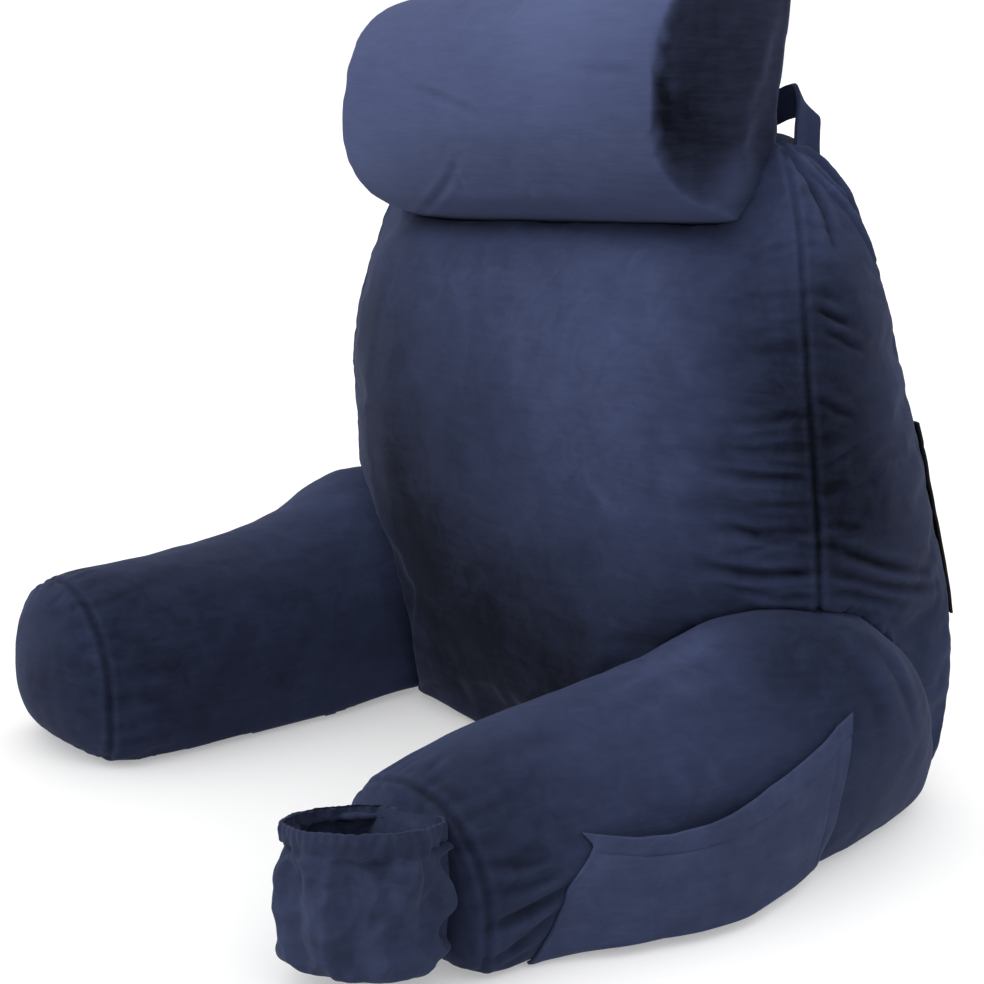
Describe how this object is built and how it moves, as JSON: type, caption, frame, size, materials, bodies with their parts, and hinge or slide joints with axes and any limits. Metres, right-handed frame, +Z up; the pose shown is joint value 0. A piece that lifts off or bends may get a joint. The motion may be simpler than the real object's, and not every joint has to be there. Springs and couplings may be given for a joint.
{
  "type": "reading pillow with arms",
  "caption": "Filled reading pillow with a wedge backrest, two arm bolsters, a half-round neck roll, a strap loop, a gathered cup pocket and a side pocket.",
  "frame": {"origin": "middle of the overall box, on the surface that the pillow stands on", "axes": "+Z up; the sitter looks along -Y, so the arms point along -Y; +X is the sitter's left, the side with the pockets"},
  "size_m": [0.6713, 0.5764, 0.613],
  "materials": {
    "navy_velvet": "short-pile navy velvet, matt with a soft sheen",
    "pocket_velvet": "the same velvet, a single layer",
    "black_cloth": "flat black cloth"
  },
  "bodies": {
    "root": {"backrest": "navy_velvet", "arm_left": "navy_velvet", "arm_right": "navy_velvet", "neck_roll": "navy_velvet", "carry_handle": "navy_velvet", "cup_pocket": "pocket_velvet", "tablet_pocket": "pocket_velvet", "back_pocket": "black_cloth"}
  },
  "joints": []
}
